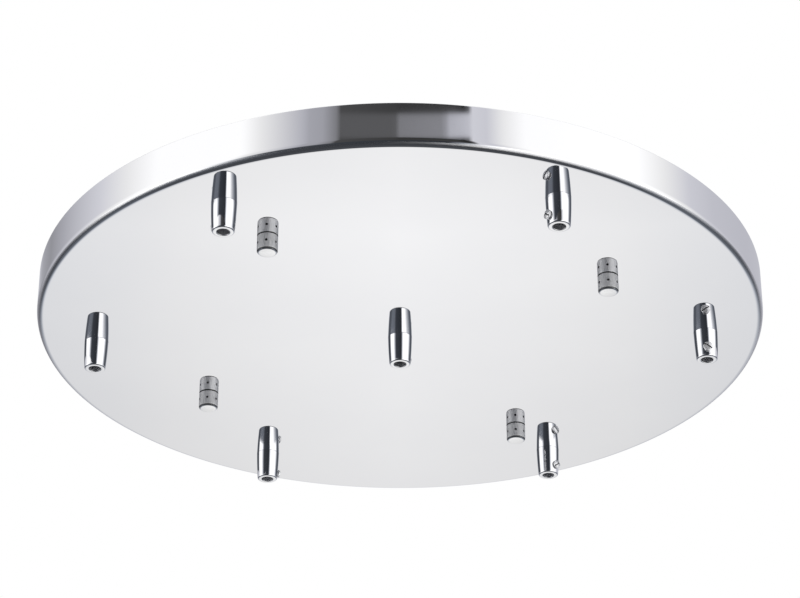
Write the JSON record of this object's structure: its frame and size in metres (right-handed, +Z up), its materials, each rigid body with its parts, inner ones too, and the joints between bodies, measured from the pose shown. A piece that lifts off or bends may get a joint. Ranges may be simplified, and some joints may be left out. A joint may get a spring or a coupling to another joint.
{
  "type": "light fixture ceiling canopy",
  "caption": "Round polished chrome ceiling pan for pendant lamps, with tapered cord grips, round cap nuts and a hidden crossed-strap ceiling bracket.",
  "frame": {"origin": "middle of the canopy on the ceiling plane, at the centre of the ceiling box slots", "axes": "+Z up into the ceiling, +X and +Y along the two straps of the bracket; the canopy hangs below the origin"},
  "size_m": [0.4571, 0.4572, 0.0465],
  "materials": {
    "mirror_chrome": "polished chrome plate",
    "turned_chrome": "turned and chrome plated",
    "screw_chrome": "bright nickel plate",
    "satin_nickel": "turned and satin nickel plated",
    "zinc_plate": "zinc plated steel",
    "green_paint": "green coated earthing screw",
    "brass_plate": "pressed brass"
  },
  "bodies": {
    "bracket": {"bracket_bar_flat": "zinc_plate", "bracket_bar_joggled": "zinc_plate", "bracket_rivet": "zinc_plate", "bracket_studs": "zinc_plate", "stud_lock_nuts": "zinc_plate", "ground_screw": "green_paint", "ground_washer": "brass_plate"},
    "canopy": {"canopy_pan": "mirror_chrome", "nipple_washers": "zinc_plate", "nipple_lock_nuts": "zinc_plate", "cord_grip_1": "turned_chrome", "cord_grip_2": "turned_chrome", "cord_grip_3": "turned_chrome", "cord_grip_4": "turned_chrome", "cord_grip_5": "turned_chrome", "cord_grip_6": "turned_chrome", "cord_grip_7": "turned_chrome", "threaded_nipple_1": "zinc_plate", "threaded_nipple_2": "zinc_plate", "threaded_nipple_3": "zinc_plate", "threaded_nipple_4": "zinc_plate", "threaded_nipple_5": "zinc_plate", "threaded_nipple_6": "zinc_plate", "threaded_nipple_7": "zinc_plate"},
    "nut_1": {"cap_nut_1": "satin_nickel"},
    "nut_2": {"cap_nut_2": "satin_nickel"},
    "nut_3": {"cap_nut_3": "satin_nickel"},
    "nut_4": {"cap_nut_4": "satin_nickel"},
    "clamp_1": {"clamp_screw_1": "screw_chrome"},
    "clamp_2": {"clamp_screw_2": "screw_chrome"},
    "clamp_3": {"clamp_screw_3": "screw_chrome"},
    "clamp_4": {"clamp_screw_4": "screw_chrome"},
    "clamp_5": {"clamp_screw_5": "screw_chrome"},
    "clamp_6": {"clamp_screw_6": "screw_chrome"},
    "clamp_7": {"clamp_screw_7": "screw_chrome"}
  },
  "joints": [
    {"name": "canopy_lift", "type": "slide", "parent": "bracket", "child": "canopy", "axis": [0, 0, 1], "range_m": [-0.0056, 0]},
    {"name": "nut_1_turn", "type": "hinge", "parent": "canopy", "child": "nut_1", "pos_m": [0.1485, 0, -0.0275], "axis": [0, 0, 1], "range_deg": [-2880, 0]},
    {"name": "nut_2_turn", "type": "hinge", "parent": "canopy", "child": "nut_2", "pos_m": [0, 0.1485, -0.0275], "axis": [0, 0, 1], "range_deg": [-2880, 0]},
    {"name": "nut_3_turn", "type": "hinge", "parent": "canopy", "child": "nut_3", "pos_m": [-0.1485, 0, -0.0275], "axis": [0, 0, 1], "range_deg": [-2880, 0]},
    {"name": "nut_4_turn", "type": "hinge", "parent": "canopy", "child": "nut_4", "pos_m": [0, -0.1485, -0.0275], "axis": [0, 0, 1], "range_deg": [-2880, 0]},
    {"name": "clamp_1_turn", "type": "hinge", "parent": "canopy", "child": "clamp_1", "pos_m": [0.19131, -0.00731, -0.0407], "axis": [0.225, 0.9744, 0], "range_deg": [-720, 360]},
    {"name": "clamp_2_turn", "type": "hinge", "parent": "canopy", "child": "clamp_2", "pos_m": [0.1033, 0.16397, -0.0407], "axis": [-0.9063, 0.4226, 0], "range_deg": [-720, 360]},
    {"name": "clamp_3_turn", "type": "hinge", "parent": "canopy", "child": "clamp_3", "pos_m": [-0.09014, 0.17112, -0.0407], "axis": [-0.848, -0.5299, 0], "range_deg": [-720, 360]},
    {"name": "clamp_4_turn", "type": "hinge", "parent": "canopy", "child": "clamp_4", "pos_m": [-0.19093, 0.00721, -0.0407], "axis": [-0.2756, -0.9613, 0], "range_deg": [-720, 360]},
    {"name": "clamp_5_turn", "type": "hinge", "parent": "canopy", "child": "clamp_5", "pos_m": [-0.10318, -0.16374, -0.0407], "axis": [0.891, -0.454, 0], "range_deg": [-720, 360]},
    {"name": "clamp_6_turn", "type": "hinge", "parent": "canopy", "child": "clamp_6", "pos_m": [0.09014, -0.17112, -0.0407], "axis": [0.848, 0.5299, 0], "range_deg": [-720, 360]},
    {"name": "clamp_7_turn", "type": "hinge", "parent": "canopy", "child": "clamp_7", "pos_m": [0.00747, -0.00065, -0.0407], "axis": [-0.9962, 0.0872, 0], "range_deg": [-720, 360]}
  ],
  "couplings": [
    {"joint": "nut_1_turn", "follows": "canopy_lift", "rad_per_m": 8976},
    {"joint": "nut_2_turn", "follows": "canopy_lift", "rad_per_m": 8976},
    {"joint": "nut_3_turn", "follows": "canopy_lift", "rad_per_m": 8976},
    {"joint": "nut_4_turn", "follows": "canopy_lift", "rad_per_m": 8976}
  ]
}
